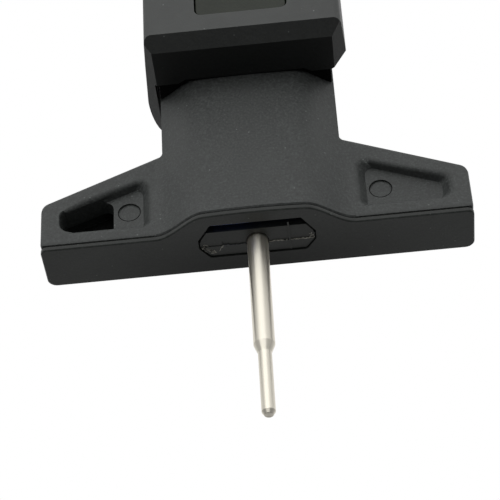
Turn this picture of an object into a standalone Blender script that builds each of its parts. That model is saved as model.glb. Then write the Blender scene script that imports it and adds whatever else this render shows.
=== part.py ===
"""A digital tyre tread depth gauge, as the separate pieces it is assembled from.

A hollow T-shaped base carries the foot that rests on the tread. A display unit slides on the front of
its neck, and a carriage inside the neck carries the steel probe down through a slot in the foot.

Every size below is in millimetres; the helpers turn them into metres. X is along the foot, -Y is the
front, where the display is, and Z is up. Heights are measured from the foot's contact face. The probe
is modelled fully extended, and the whole gauge is raised so that the probe's tip is at the origin.
A box is given by its two opposite corners.
"""

import math
from collections import namedtuple

import bmesh
import bpy
from mathutils import Matrix, Vector

MM = 0.001

# How far a cutter runs past what it cuts, and the size of one that takes everything on its side
PAST = 1.0
FAR = 40.0

# Base: the foot bar, its two wings and the neck
BAR_HALF = 28.0
FACE_Y = -2.4
BACK_Y = 4.95
PARTING_Y = 1.1
SEAM = 0.12
PLATE_TOP = 0.75
WING_END_Z = 7.8
WING_END_RADIUS = 1.5
SHOULDER_Z = 14.77
SHOULDER_RADIUS = 0.6
NECK_HALF = 11.8
NECK_TOP = 70.0
CROWN_HALF = 6.3
CROWN_FOOT = 13.0
CROWN_RISE = 3.65
CROWN_SWELL = 0.2
CROWN_STEPS = 40
CROWN_DROP = 0.42
EDGE = 0.45
CROWN_EDGE = 0.2
PLATE_EDGE = 0.15
FOOT_FRONT_RADIUS = 0.9
FOOT_BACK_RADIUS = 1.2
SCALE_FRONT = -4.2
SCALE_BACK = -3.9
SCALE_HALF = 5.6
SCALE_TOP = 69.0
SCALE_LOW = 2.5
SCALE_TAB = (-0.8, 0.3)

# Slot in the foot, which is also the section of the channel up the neck
SLOT_HALF = 7.6
SLOT_FRONT = -4.25
SLOT_BACK = 2.1
SLOT_FRONT_CORNER = (1.75, 2.8)
SLOT_FRONT_RADIUS = 0.3
SLOT_BACK_CORNER = (1.3, 1.95)
SLOT_BACK_RADIUS = 0.6

# Shallow recess in each wing, and the deep pocket at the left wing's outer end
RECESS_IN = 13.5
RECESS_OUT = 25.6
RECESS_LOW = 2.85
RECESS_IN_TOP = 11.03
RECESS_OUT_TOP = 6.35
RECESS_RADII = (0.8, 1.6, 0.9, 1.2)
RECESS_DEPTH = 1.4
RECESS_DRAFT = (1.15, 0.5)
POCKET_IN = 18.45
POCKET_INSET = 0.1
MARK_X = 16.5
MARK_Z = 6.4
MARK_RADIUS = 1.45
MARK_DEPTH = 0.2

# Hollow inside each wing, in the rear shell
HOLLOW_IN = 13.3
HOLLOW_OUT = 26.3
HOLLOW_LOW = 2.4
HOLLOW_IN_TOP = 11.8
HOLLOW_OUT_TOP = 6.4
HOLLOW_RADIUS = 0.5
HOLLOW_BACK = 3.1

# Probe
PROBE_OUT = 27.0
PROBE_RADIUS = 1.36
PROBE_EDGE = 0.2
PROBE_FIT = 0.12
TIP_RADIUS = 0.875
STEP_TOP = -16.4
STEP_LOW = -17.7
TIP_CHAMFER = 0.5
TIP_FLAT_RADIUS = 0.575
PROBE_TOP = 18.0
TRAVEL = 27.5

# Display unit: the case, whose middle stands a little to the right of the neck's
UNIT_X = 0.35
CASE_LOW = 24.2
CASE_HIGH = 84.2
CASE_FRONT = -13.9
CASE_BACK = -6.5
CASE_SHOULDER_BACK = -5.85
CASE_FACE_HALF = 13.05
CASE_HALF = 13.5
CASE_CORNER = 1.0
CASE_CHAMFER = 1.75
CASE_FRONT_CHAMFER = (2.0, 1.55)
CASE_WALL = 1.3
CASE_END_WALL = 1.8
CASE_SIDE_IN = 11.7
CASE_HOLLOW_BACK = -8.1
REBATE_HALF = 10.2
REBATE_FRONT = -8.15
REBATE_END = 2.8
CHEEK_BACK = 3.5
CHEEK_ROUND = -1.0
CHEEK_IN = -12.2
CHEEK_OUT = -13.68
CHEEK_STEPS = 8
CHEEK_START_Y = -8.5
REAR_CUT_X = 11.75
REAR_CUT_Y = -7.3
SHOULDER_IN = 8.0
SHOULDER_OUT = 9.0
EDGE_RADIUS = 0.2
BOSS_RADIUS = 1.5
BOSS_BACK = -7.8
BOSSES = [(-8.8, 30.4), (8.8, 30.4), (-8.8, 62.25), (8.8, 62.25)]

# Rear cover, with the hood that joins it to the carriage over the neck's open top
COVER_GAP = 0.2
COVER_FRONT = -8.0
LINK_BACK = -5.5
HOOD_LOW = 70.6
HOOD_CORNER = 0.8
HOOD_EDGE = 0.6
HOOD_HOLLOW = ((-9.9, -4.9, 69.6), (9.9, 2.1, 82.7))
RIBBON_WINDOW = ((-4.2, -9.0, 73.0), (4.2, -4.5, 79.0))

# Battery and its door
DOOR_HALF = 6.2
DOOR_LOW = 28.6
DOOR_HIGH = 43.6
DOOR_MIDDLE = (DOOR_LOW + DOOR_HIGH) / 2
DOOR_CORNER = 1.0
DOOR_GAP = 0.15
DOOR_SINK = 0.25
DOOR_THICK = 0.75
DOOR_EDGE = 0.12
CELL_RADIUS = 5.8
CELL_FRONT = -12.8
CELL_BACK = -7.4
CELL_EDGE = 0.35
CELL_ROOM = 6.4
CELL_SEAT_BACK = -7.0
CONTACT_NEGATIVE = ((-2.5, -7.32, 31.5), (2.5, -7.16, 41.0))
CONTACT_POSITIVE = ((6.4, -12.3, 33.0), (6.6, -10.1, 39.0))

# Keys, which sit in a shallow field just below the case's face, and the keypad under them
KEYS = {"button_on_off": UNIT_X - 7.4, "button_unit": UNIT_X, "button_zero": UNIT_X + 7.4}
KEY_Z = 55.5
KEY_RADIUS = 2.4
KEY_HOLE_GAP = 0.2
KEY_SINK = 0.1
KEY_BACK = 2.1
KEY_EDGE = 0.3
FLANGE_RADIUS = 3.0
FLANGE_FRONT = 1.55
FLANGE_THICK = 0.5
KEY_FIELD_HALF = 11.0
KEY_FIELD_RISE = 3.5
KEY_FIELD_DEPTH = 0.6
KEY_FIELD_RADIUS = 1.6
KEYPAD = ((-10.6, -10.3, 50.6), (10.6, -9.95, 60.4))
DOME_RADIUS = 1.8
DOME_FRONT = -11.2
DOME_BACK = -10.1

# Display and circuit board
WINDOW_HALF = 9.5
WINDOW_LOW = 66.5
WINDOW_HIGH = 77.0
WINDOW_RADIUS = 1.0
PANE_GAP = 0.15
PANE_SINK = 0.1
PANE_THICK = 1.0
MAIN_BOARD = ((-11.2, -9.8, 28.0), (11.2, -9.0, 81.0))
BOSS_ROOM = 1.75
LCD_GLASS = ((UNIT_X - 10.6, -12.4, 64.2), (UNIT_X + 10.6, -11.1, 79.2))
ZEBRA_STRIP = ((UNIT_X - 9.6, -10.9, 64.4), (UNIT_X + 9.6, -9.95, 66.0))

# Carriage inside the neck, and what rides on it
CARRIAGE_HALF = 7.45
CARRIAGE_FRONT = -2.55
CARRIAGE_SPLIT = 0.15
CARRIAGE_JOINT = 0.02
CARRIAGE_BACK = 1.95
CARRIAGE_FRONT_LOW = 0.3
CARRIAGE_REAR_LOW = 0.2
CARRIAGE_TOP = 80.0
CARRIAGE_FRONT_CORNER = (0.75, 1.2)
CARRIAGE_FRONT_RADIUS = 0.3
CARRIAGE_TAPER = 1.25
CARRIAGE_BACK_RADIUS = 0.5
BORE_END_GAP = 0.3
MOUTH_REACH = 1.85
MOUTH_DEPTH = 0.7
STOP_X = 4.2
STOP_Z = 33.0
STOP_GROOVE_HALF = 1.3
STOP_GROOVE_END = 1.2
STOP_GROOVE_FLOOR = 0.7
READHEAD_BOARD = ((-6.0, -3.2, 8.0), (6.0, -2.7, 30.0))
RIBBON_LOW = 30.3
RIBBON_HIGH = 76.3
RIBBON_FRONT = -8.7
RIBBON_BACK = -2.7
RIBBON_THICK = 0.25
RIBBON_HALF = 2.6

# Screws: all of them lie along Y with their heads at the back
ScrewSize = namedtuple("ScrewSize", "head_radius shank_radius head_height head_back tip")
BASE_SCREW = ScrewSize(1.6, 0.85, 1.0, 4.75, -1.6)
STOP_SCREW = ScrewSize(1.6, 0.85, 1.0, 4.75, 1.1)
CARRIAGE_SCREW = ScrewSize(1.2, 0.55, 0.45, 1.9, -1.2)
COVER_SCREW = ScrewSize(1.15, 0.55, 0.65, -6.6, -10.6)
HOOD_SCREW = ScrewSize(1.35, 0.55, 0.9, 4.75, -1.2)
BASE_SCREWS = [(-9.8, 5.5), (9.8, 5.5), (-9.8, 62.0), (9.8, 62.0)]
CARRIAGE_SCREWS = [(-4.3, 12.0), (0.0, 50.0)]
HOOD_SCREWS = [(-4.7, 75.8), (4.7, 75.8)]
PILOT_GAP = 0.15
HOLE_GAP = 0.2
SEAT_GAP = 0.2
HEAD_CROWN = 0.8
HEAD_RIM = 0.35
CROSS_DEPTH = 0.6
CROSS_LENGTH = 0.62
CROSS_WIDTH = 0.11
POINT_LENGTH = 0.6
POINT_RADIUS = 0.4

# How finely round shapes are divided
ROUND_STEPS = 32
HOLE_STEPS = 20
ARC_STEPS = 7

PLASTIC = ("plastic", (0.030, 0.031, 0.030), 0.48, 0.0)
DOOR_PLASTIC = ("door_plastic", (0.022, 0.024, 0.020), 0.42, 0.0)
INNER_PLASTIC = ("inner_plastic", (0.020, 0.021, 0.020), 0.5, 0.0)
STEEL = ("steel", (0.78, 0.76, 0.72), 0.18, 1.0)
SCREW_STEEL = ("screw_steel", (0.30, 0.30, 0.31), 0.35, 1.0)
SPRING_STEEL = ("spring_steel", (0.62, 0.60, 0.55), 0.3, 1.0)
CELL_STEEL = ("cell_steel", (0.70, 0.71, 0.72), 0.22, 1.0)
BLUE_BOARD = ("blue_board", (0.010, 0.035, 0.220), 0.4, 0.0)
GREEN_BOARD = ("green_board", (0.012, 0.120, 0.040), 0.4, 0.0)
LCD = ("lcd", (0.330, 0.360, 0.300), 0.25, 0.0)
CLEAR = ("clear", (0.800, 0.820, 0.820), 0.05, 0.0)
RUBBER = ("rubber", (0.120, 0.120, 0.125), 0.7, 0.0)
KEY_PLASTIC = ("key_plastic", (0.200, 0.205, 0.210), 0.45, 0.0)
FLEX = ("flex", (0.450, 0.180, 0.030), 0.4, 0.0)

for old in list(bpy.data.objects):
    bpy.data.objects.remove(old, do_unlink=True)

parts = bpy.data.collections.new("tread_depth_gauge")
cutters = bpy.data.collections.new("cutters")
bpy.context.scene.collection.children.link(parts)
bpy.context.scene.collection.children.link(cutters)

PLANES = {
    "XY": Matrix.Identity(4),
    "XZ": Matrix.Rotation(math.radians(90), 4, "X"),
    "YZ": Matrix(((0, 0, 1, 0), (1, 0, 0, 0), (0, 1, 0, 0), (0, 0, 0, 1))),
}
NORMAL_SIGN = {"XY": 1, "XZ": -1, "YZ": 1}
WELD = 1e-7


# Materials, empties and object helpers


def material(finish):
    name, colour, roughness, metallic = finish
    found = bpy.data.materials.get(name)
    if found:
        return found
    made = bpy.data.materials.new(name)
    made.use_nodes = True
    shader = made.node_tree.nodes["Principled BSDF"]
    shader.inputs["Base Color"].default_value = (*colour, 1)
    shader.inputs["Roughness"].default_value = roughness
    shader.inputs["Metallic"].default_value = metallic
    return made


def empty(name, parent=None, place=(0, 0, 0)):
    made = bpy.data.objects.new(name, None)
    made.parent = parent
    made.location = Vector(place) * MM
    parts.objects.link(made)
    return made


def add(name, mesh, parent, finish=None):
    """Puts a mesh in the scene: a piece if it has a finish, and a hidden cutter if it has none."""
    made = bpy.data.objects.new(name, mesh)
    made.parent = parent
    if finish:
        mesh.materials.clear()
        mesh.materials.append(material(finish))
        parts.objects.link(made)
    else:
        cutters.objects.link(made)
        made.hide_render = True
        made.display_type = "WIRE"
    return made


def combine(piece, other, operation="DIFFERENCE"):
    step = piece.modifiers.new(other.name, "BOOLEAN")
    step.operation = operation
    step.object = other
    return piece


def bevel(piece, width, segments=2, angle=35):
    step = piece.modifiers.new("edges", "BEVEL")
    step.width = width * MM
    step.segments = segments
    step.limit_method = "ANGLE"
    step.angle_limit = math.radians(angle)
    return piece


# Outlines


def rounded(corners, steps=ARC_STEPS):
    """An outline whose corners, given as (x, y, radius), are rounded with arcs."""
    points = []
    for index, (x, y, radius) in enumerate(corners):
        here = Vector((x, y))
        if not radius:
            points.append(here)
            continue
        before = (Vector(corners[index - 1][:2]) - here).normalized()
        after = (Vector(corners[(index + 1) % len(corners)][:2]) - here).normalized()
        half = before.angle(after) / 2
        centre = here + (before + after).normalized() * radius / math.sin(half)
        start = here + before * radius / math.tan(half) - centre
        finish = here + after * radius / math.tan(half) - centre
        turn = start.angle_signed(finish)
        for step in range(steps + 1):
            points.append(centre + Matrix.Rotation(-turn * step / steps, 2) @ start)
    return points


def rectangle(left, low, right, high, radius=0.0):
    return rounded([(left, low, radius), (right, low, radius), (right, high, radius), (left, high, radius)])


def slot_outline():
    """The slot from below: straight sides and cut corners, longer ones in front."""
    wide, deep = SLOT_FRONT_CORNER
    right = [
        (SLOT_HALF - wide, SLOT_FRONT, SLOT_FRONT_RADIUS),
        (SLOT_HALF, SLOT_FRONT + deep, SLOT_FRONT_RADIUS),
    ]
    wide, deep = SLOT_BACK_CORNER
    right += [
        (SLOT_HALF, SLOT_BACK - deep, SLOT_BACK_RADIUS),
        (SLOT_HALF - wide, SLOT_BACK, SLOT_BACK_RADIUS),
    ]
    left = [(-x, y, radius) for x, y, radius in reversed(right)]
    return rounded(right + left)


def crown_front(x):
    """How far forward the neck's raised centre stands at x: a flat top with S-shaped shoulders."""
    across = min(max((abs(x) - CROWN_HALF) / (CROWN_FOOT - CROWN_HALF), 0), 1)
    flat = max(1 - (x / CROWN_HALF) ** 2, 0)
    return FACE_Y - CROWN_RISE * (1 - across * across * (3 - 2 * across)) - CROWN_SWELL * flat


def crown_points(half):
    places = [half * (2 * step / CROWN_STEPS - 1) for step in range(CROWN_STEPS + 1)]
    return [(x, crown_front(x), 0) for x in places]


def mirrored(points, side):
    return [Vector((side * point.x, point.y)) for point in points]


# Solids


def is_cap(face):
    heights = [corner.co.z for corner in face.verts]
    return max(heights) - min(heights) < WELD


def outline_mesh(name, points, low, high, plane):
    """A flat outline, drawn as a filled 2D curve and extruded from low to high along the plane's normal."""
    curve = bpy.data.curves.new(name, "CURVE")
    curve.dimensions = "2D"
    curve.fill_mode = "BOTH"
    curve.extrude = abs(high - low) / 2 * MM
    spline = curve.splines.new("POLY")
    spline.points.add(len(points) - 1)
    for place, point in zip(points, spline.points):
        point.co = (place[0] * MM, place[1] * MM, 0, 1)
    spline.use_cyclic_u = True
    drawn = bpy.data.objects.new(name, curve)
    cutters.objects.link(drawn)
    evaluated = drawn.evaluated_get(bpy.context.evaluated_depsgraph_get())
    mesh = bpy.data.meshes.new_from_object(evaluated)
    bpy.data.objects.remove(drawn)
    middle = (low + high) / 2 * MM * NORMAL_SIGN[plane]
    shape = bmesh.new()
    shape.from_mesh(mesh)
    bmesh.ops.remove_doubles(shape, verts=shape.verts, dist=WELD)
    inner = [edge for edge in shape.edges if all(is_cap(face) for face in edge.link_faces)]
    bmesh.ops.dissolve_edges(shape, edges=inner, use_verts=False)
    bmesh.ops.transform(shape, matrix=PLANES[plane] @ Matrix.Translation((0, 0, middle)), verts=shape.verts)
    bmesh.ops.recalc_face_normals(shape, faces=shape.faces)
    shape.to_mesh(mesh)
    shape.free()
    mesh.name = name
    return mesh


def outline(name, points, low, high, plane, parent, finish=None):
    return add(name, outline_mesh(name, points, low, high, plane), parent, finish)


def block(name, box, parent, finish=None):
    low, high = Vector(box[0]), Vector(box[1])
    mesh = bpy.data.meshes.new(name)
    shape = bmesh.new()
    bmesh.ops.create_cube(shape, size=1)
    scale = Matrix.Diagonal((*((high - low) * MM), 1))
    bmesh.ops.transform(shape, matrix=Matrix.Translation((high + low) / 2 * MM) @ scale, verts=shape.verts)
    shape.to_mesh(mesh)
    shape.free()
    return add(name, mesh, parent, finish)


def round_mesh(name, radius, length, place, steps):
    mesh = bpy.data.meshes.new(name)
    shape = bmesh.new()
    size = {"radius1": radius * MM, "radius2": radius * MM, "depth": length * MM}
    bmesh.ops.create_cone(shape, cap_ends=True, segments=steps, matrix=place, **size)
    shape.to_mesh(mesh)
    shape.free()
    mesh.shade_smooth()
    mesh.set_sharp_from_angle(angle=math.radians(40))
    return mesh


def cylinder(name, radius, x, z, front, back, parent, finish=None, steps=ROUND_STEPS):
    """A round bar along Y, from front to back."""
    place = Matrix.Translation(Vector((x, (front + back) / 2, z)) * MM) @ PLANES["XZ"]
    return add(name, round_mesh(name, radius, back - front, place, steps), parent, finish)


def column(name, radius, low, high, parent):
    """A round cutter along Z, on the probe's axis."""
    place = Matrix.Translation((0, 0, (low + high) / 2 * MM))
    return add(name, round_mesh(name, radius, high - low, place, ROUND_STEPS), parent)


def turned(name, profile, parent, finish, steps=ROUND_STEPS):
    """A solid of revolution about Z: the profile's (radius, height) points run top to bottom."""
    mesh = bpy.data.meshes.new(name)
    shape = bmesh.new()
    corners = [shape.verts.new((radius * MM, 0, height * MM)) for radius, height in profile]
    for start, end in zip(corners, corners[1:]):
        shape.edges.new((start, end))
    shape.to_mesh(mesh)
    shape.free()
    made = add(name, mesh, parent, finish)
    step = made.modifiers.new("turn", "SCREW")
    step.steps = steps
    step.render_steps = steps
    step.use_merge_vertices = True
    step.merge_threshold = 0.00001
    return made


def screw(name, size, x, z, parent):
    """A cross-headed screw along Y whose head faces the back."""
    reach = size.head_back - size.tip
    profile = [
        (0, 0),
        (size.head_radius * HEAD_CROWN, 0),
        (size.head_radius, -size.head_height * HEAD_RIM),
        (size.head_radius, -size.head_height),
        (size.shank_radius, -size.head_height),
        (size.shank_radius, -reach + size.shank_radius * POINT_LENGTH),
        (size.shank_radius * POINT_RADIUS, -reach),
        (0, -reach),
    ]
    made = turned(name, profile, parent, SCREW_STEEL, steps=HOLE_STEPS)
    place = Matrix.Translation(Vector((x, size.head_back, z)) * MM)
    made.matrix_local = place @ Matrix.Rotation(math.radians(-90), 4, "X")
    length = size.head_radius * CROSS_LENGTH
    width = size.head_radius * CROSS_WIDTH
    depth = size.head_height * CROSS_DEPTH
    for number, turn in enumerate((45, 135)):
        arm = block(f"{name}_cross_{number}", ((-length, -width, -depth), (length, width, PAST)), parent)
        arm.matrix_local = made.matrix_local @ Matrix.Rotation(math.radians(turn), 4, "Z")
        combine(made, arm)
    return made


def bore(piece, label, size, x, z, back, gap=PILOT_GAP):
    """The hole that a screw's shank goes into, from just past its tip."""
    radius = size.shank_radius + gap
    name = f"{piece.name}_{label}"
    combine(piece, cylinder(name, radius, x, z, size.tip - 0.3, back, piece.parent, steps=HOLE_STEPS))


def seat(piece, label, size, x, z, back):
    """The clearance hole of a screw that this piece is held by, and the seat that its head sinks into."""
    bore(piece, f"{label}_hole", size, x, z, back, HOLE_GAP)
    under = size.head_back - size.head_height - PILOT_GAP
    radius = size.head_radius + SEAT_GAP
    name = f"{piece.name}_{label}_seat"
    combine(piece, cylinder(name, radius, x, z, under, back, piece.parent, steps=HOLE_STEPS))


# The base


def base_outline(low, top=NECK_TOP):
    """The T seen from the front: foot bar, sloping wings and neck."""
    right = [
        (BAR_HALF, low, 0),
        (BAR_HALF, WING_END_Z, WING_END_RADIUS),
        (NECK_HALF, SHOULDER_Z, SHOULDER_RADIUS),
        (NECK_HALF, top, 0),
    ]
    left = [(-x, z, radius) for x, z, radius in reversed(right)]
    return rounded(right + left)


def recess_outline(side, inner, inset=0.0):
    """One wing's recess from the front; inner is where its inboard end lies."""
    slope = (RECESS_OUT_TOP - RECESS_IN_TOP) / (RECESS_OUT - RECESS_IN)
    top = RECESS_IN_TOP + slope * (inner - RECESS_IN)
    places = [
        (inner + inset, RECESS_LOW + inset),
        (RECESS_OUT - inset, RECESS_LOW + inset),
        (RECESS_OUT - inset, RECESS_OUT_TOP - inset),
        (inner + inset, top - inset),
    ]
    corners = [(x, z, radius) for (x, z), radius in zip(places, RECESS_RADII)]
    return mirrored(rounded(corners), side)


def foot_outline():
    """The foot's contact face from below, with the bulge under the neck's raised centre."""
    left = [(-BAR_HALF, FACE_Y, FOOT_FRONT_RADIUS)]
    right = [(BAR_HALF, FACE_Y, FOOT_FRONT_RADIUS)]
    back = [(BAR_HALF, BACK_Y, FOOT_BACK_RADIUS), (-BAR_HALF, BACK_Y, FOOT_BACK_RADIUS)]
    return rounded(left + crown_points(CROWN_FOOT) + right + back)


def neck_section(corner=0.0):
    """The neck from above: its crowned front and flat back."""
    return rounded(crown_points(NECK_HALF) + [(NECK_HALF, BACK_Y, corner), (-NECK_HALF, BACK_Y, corner)])


def taper(cutter, depth_low, depth_high, insets):
    """Draws a cutter's far end in by the insets in X and Z, so that the recess has sloping walls."""
    shape = cutter.data
    low = Vector([min(v.co[axis] for v in shape.vertices) for axis in range(3)])
    high = Vector([max(v.co[axis] for v in shape.vertices) for axis in range(3)])
    middle = (low + high) / 2
    for corner in shape.vertices:
        share = (corner.co.y / MM - depth_low) / (depth_high - depth_low)
        for axis, inset in zip((0, 2), insets):
            half = (high[axis] - low[axis]) / 2
            drawn_in = 1 - share * inset * MM / half
            corner.co[axis] = middle[axis] + (corner.co[axis] - middle[axis]) * drawn_in


def channel(name, low, high, parent):
    return outline(name, slot_outline(), low, high, "XY", parent)


def make_foot_plate(base):
    plate = outline("foot_plate", foot_outline(), 0, PLATE_TOP, "XY", base, PLASTIC)
    bevel(plate, PLATE_EDGE, 1, 50)
    combine(plate, channel("foot_slot", -PAST, PLATE_TOP + PAST, base))


def make_front_shell(base):
    low = PLATE_TOP + SEAM
    shell = outline("base_front_shell", base_outline(low), FACE_Y, BACK_Y, "XZ", base, PLASTIC)
    bevel(shell, EDGE)
    combine(shell, block("behind_parting", ((-FAR, PARTING_Y, -FAR), (FAR, FAR, 2 * FAR)), base))
    points = rounded(crown_points(CROWN_FOOT) + [(CROWN_FOOT, BACK_Y, 0), (-CROWN_FOOT, BACK_Y, 0)])
    crown = outline("crown", points, low, NECK_TOP, "XY", base)
    bevel(crown, CROWN_EDGE, 1, 50)
    limits = outline("crown_limits", base_outline(low - PAST, NECK_TOP + PAST), -FAR, FAR, "XZ", base)
    limits.location.z = -CROWN_DROP * MM
    combine(crown, limits, "INTERSECT")
    combine(crown, block("behind_face", ((-FAR, 0, -FAR), (FAR, FAR, 2 * FAR)), base))
    combine(shell, crown, "UNION")
    combine(shell, channel("front_channel", -PAST, NECK_TOP + PAST, base))
    floor = FACE_Y + RECESS_DEPTH
    for side, name in ((-1, "left"), (1, "right")):
        points = recess_outline(side, RECESS_IN)
        recess = outline(f"{name}_recess", points, FACE_Y - PAST, floor, "XZ", base)
        taper(recess, FACE_Y, floor, RECESS_DRAFT)
        combine(shell, recess)
        near, deep = floor - PAST, floor + MARK_DEPTH
        combine(shell, cylinder(f"{name}_mark", MARK_RADIUS, side * MARK_X, MARK_Z, near, deep, base))
    points = recess_outline(-1, POCKET_IN, POCKET_INSET)
    combine(shell, outline("pocket", points, FACE_Y - PAST, PARTING_Y + PAST, "XZ", base))
    for number, (x, z) in enumerate(BASE_SCREWS):
        bore(shell, number, BASE_SCREW, x, z, PARTING_Y + PAST)


def make_rear_shell(base):
    low = PLATE_TOP + SEAM
    shell = outline("base_rear_shell", base_outline(low), FACE_Y, BACK_Y, "XZ", base, PLASTIC)
    bevel(shell, EDGE)
    combine(shell, block("before_parting", ((-FAR, -FAR, -FAR), (FAR, PARTING_Y + SEAM, 2 * FAR)), base))
    combine(shell, channel("rear_channel", -PAST, NECK_TOP + PAST, base))
    corners = [
        (HOLLOW_IN, HOLLOW_LOW, HOLLOW_RADIUS),
        (HOLLOW_OUT, HOLLOW_LOW, HOLLOW_RADIUS),
        (HOLLOW_OUT, HOLLOW_OUT_TOP, HOLLOW_RADIUS),
        (HOLLOW_IN, HOLLOW_IN_TOP, HOLLOW_RADIUS),
    ]
    for side, name in ((-1, "left"), (1, "right")):
        points = mirrored(rounded(corners, 2), side)
        combine(shell, outline(f"{name}_hollow", points, PARTING_Y - PAST, HOLLOW_BACK, "XZ", base))
    for number, (x, z) in enumerate(BASE_SCREWS):
        seat(shell, number, BASE_SCREW, x, z, BACK_Y + PAST)
    seat(shell, "stop", STOP_SCREW, STOP_X, STOP_Z, BACK_Y + PAST)


def make_base(base):
    make_foot_plate(base)
    make_front_shell(base)
    make_rear_shell(base)
    tab_x, tab_low = SCALE_TAB
    corners = [
        (-SCALE_HALF, tab_low),
        (tab_x, tab_low),
        (tab_x, SCALE_LOW),
        (SCALE_HALF, SCALE_LOW),
        (SCALE_HALF, SCALE_TOP),
        (-SCALE_HALF, SCALE_TOP),
    ]
    outline("scale_board", corners, SCALE_FRONT, SCALE_BACK, "XZ", base, BLUE_BOARD)
    for number, (x, z) in enumerate(BASE_SCREWS, 1):
        screw(f"base_screw_{number}", BASE_SCREW, x, z, base)
    screw("stop_screw", STOP_SCREW, STOP_X, STOP_Z, base)


# The carriage and the probe


def carriage_half(name, corners, low, slider):
    """One half of the carriage, with the probe's bore and the holes of the hood's screws."""
    half = outline(name, rounded(corners), low, CARRIAGE_TOP, "XY", slider, INNER_PLASTIC)
    radius = PROBE_RADIUS + PROBE_FIT
    combine(half, column(f"{name}_bore", radius, -PAST, PROBE_TOP + BORE_END_GAP, slider))
    for number, (x, z) in enumerate(HOOD_SCREWS):
        bore(half, f"hood_{number}", HOOD_SCREW, x, z, CARRIAGE_BACK + PAST)
    return half


def make_carriage(slider):
    seam = CARRIAGE_SPLIT - CARRIAGE_JOINT
    wide, deep = CARRIAGE_FRONT_CORNER
    right = [
        (CARRIAGE_HALF - wide, CARRIAGE_FRONT, CARRIAGE_FRONT_RADIUS),
        (CARRIAGE_HALF, CARRIAGE_FRONT + deep, CARRIAGE_FRONT_RADIUS),
        (CARRIAGE_HALF, seam, 0),
    ]
    front_corners = right + [(-x, y, radius) for x, y, radius in reversed(right)]
    front = carriage_half("carriage_front", front_corners, CARRIAGE_FRONT_LOW, slider)
    mouth = column("bore_mouth", PROBE_RADIUS + PROBE_FIT, -PAST, CARRIAGE_FRONT_LOW + MOUTH_DEPTH, slider)
    mouth.scale.y = MOUTH_REACH / (PROBE_RADIUS + PROBE_FIT)
    combine(front, mouth)
    seam = CARRIAGE_SPLIT + CARRIAGE_JOINT
    back_half = CARRIAGE_HALF - CARRIAGE_TAPER
    rear_corners = [
        (-CARRIAGE_HALF, seam, 0),
        (CARRIAGE_HALF, seam, 0),
        (back_half, CARRIAGE_BACK, CARRIAGE_BACK_RADIUS),
        (-back_half, CARRIAGE_BACK, CARRIAGE_BACK_RADIUS),
    ]
    rear = carriage_half("carriage_rear", rear_corners, CARRIAGE_REAR_LOW, slider)
    for number, (x, z) in enumerate(CARRIAGE_SCREWS):
        bore(front, number, CARRIAGE_SCREW, x, z, CARRIAGE_BACK)
        seat(rear, number, CARRIAGE_SCREW, x, z, CARRIAGE_BACK + PAST)
        screw(f"carriage_screw_{number + 1}", CARRIAGE_SCREW, x, z, slider)
    low = (STOP_X - STOP_GROOVE_HALF, STOP_GROOVE_FLOOR, STOP_Z - TRAVEL - STOP_GROOVE_END)
    high = (STOP_X + STOP_GROOVE_HALF, CARRIAGE_BACK + PAST, STOP_Z + STOP_GROOVE_END)
    combine(rear, block("stop_groove", (low, high), slider))


def make_probe(slider):
    profile = [
        (0, PROBE_TOP),
        (PROBE_RADIUS - PROBE_EDGE, PROBE_TOP),
        (PROBE_RADIUS, PROBE_TOP - PROBE_EDGE),
        (PROBE_RADIUS, STEP_TOP),
        (TIP_RADIUS, STEP_LOW),
        (TIP_RADIUS, -PROBE_OUT + TIP_CHAMFER),
        (TIP_FLAT_RADIUS, -PROBE_OUT),
        (0, -PROBE_OUT),
    ]
    turned("probe_rod", profile, slider, STEEL)


def make_readhead(slider):
    """The sensor board on the carriage, and the ribbon that runs up from it and forward to the display."""
    block("readhead_board", READHEAD_BOARD, slider, GREEN_BOARD)
    inner_back = RIBBON_BACK - RIBBON_THICK
    inner_high = RIBBON_HIGH - RIBBON_THICK
    path = [
        (RIBBON_BACK, RIBBON_LOW),
        (RIBBON_BACK, RIBBON_HIGH),
        (RIBBON_FRONT, RIBBON_HIGH),
        (RIBBON_FRONT, inner_high),
        (inner_back, inner_high),
        (inner_back, RIBBON_LOW),
    ]
    outline("ribbon_cable", path, -RIBBON_HALF, RIBBON_HALF, "YZ", slider, FLEX)


# The display unit


def case_plan():
    """The case from above: a drafted front, a cut-back right edge and a cheek along the neck's left side."""
    corners = [
        (UNIT_X - CASE_FACE_HALF, CASE_FRONT, CASE_CORNER),
        (UNIT_X + CASE_FACE_HALF, CASE_FRONT, CASE_CORNER),
        (UNIT_X + CASE_HALF, REAR_CUT_Y, EDGE_RADIUS),
        (REAR_CUT_X, CASE_SHOULDER_BACK, EDGE_RADIUS),
        (SHOULDER_OUT, CASE_SHOULDER_BACK, 0),
        (SHOULDER_IN, CASE_BACK, 0),
        (-SHOULDER_IN, CASE_BACK, 0),
        (-SHOULDER_OUT, CASE_SHOULDER_BACK, 0),
        (CHEEK_IN, CASE_SHOULDER_BACK, EDGE_RADIUS),
    ]
    for step in range(CHEEK_STEPS + 1):
        turn = math.radians(90 * step / CHEEK_STEPS)
        x = CHEEK_IN + (CHEEK_OUT - CHEEK_IN) * math.sin(turn)
        y = CHEEK_ROUND + (CHEEK_BACK - CHEEK_ROUND) * math.cos(turn)
        corners.append((x, y, 0))
    return rounded(corners + [(UNIT_X - CASE_HALF, CHEEK_START_Y, 0)])


def chamfered(left, low, right, high, cut, cut_right=True):
    """A rectangle with its corners cut off by cut, those on the right only if cut_right says so."""
    across, up = cut
    right_side = [(right, low), (right, high)]
    if cut_right:
        right_side = [(right - across, low), (right, low + up), (right, high - up), (right - across, high)]
    return right_side + [(left + across, high), (left, high - up), (left, low + up), (left + across, low)]


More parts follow.
